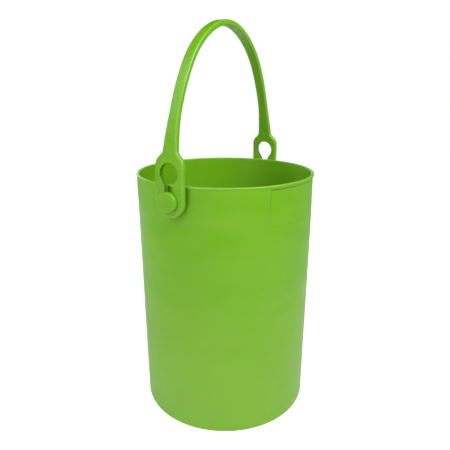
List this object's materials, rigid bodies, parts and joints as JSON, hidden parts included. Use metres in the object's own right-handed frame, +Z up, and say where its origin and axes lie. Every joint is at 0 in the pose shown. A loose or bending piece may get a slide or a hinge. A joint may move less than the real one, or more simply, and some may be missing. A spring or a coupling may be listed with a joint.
{
  "type": "fruit picking bucket",
  "caption": "Tall straight-sided moulded picking bucket with a rolled rim and a one-piece strap handle that hooks over two side buttons by keyhole tabs.",
  "frame": {"origin": "centre of the foot ring's underside, on the bucket's axis", "axes": "+Z up along the bucket's axis; X through the two handle studs; the sunk label panel faces -Y"},
  "size_m": [0.26, 0.2312, 0.5022],
  "materials": {
    "shell_plastic": "satin lime green moulded polyethylene",
    "handle_plastic": "satin lime green moulded polyethylene, softly rounded edges",
    "stud_plastic": "satin lime green moulded polyethylene"
  },
  "bodies": {
    "bucket": {"bucket_shell": "shell_plastic"},
    "studs": {"stud_left": "stud_plastic", "stud_right": "stud_plastic"},
    "handle": {"strap_handle": "handle_plastic"}
  },
  "joints": [
    {"name": "handle_swing", "type": "hinge", "parent": "bucket", "child": "studs", "pos_m": [0, 0, 0.303], "axis": [1, 0, 0], "range_deg": [-126, 126]},
    {"name": "handle_drop", "type": "slide", "parent": "studs", "child": "handle", "axis": [0, 0, 1], "range_m": [-0.0312, 0]}
  ]
}
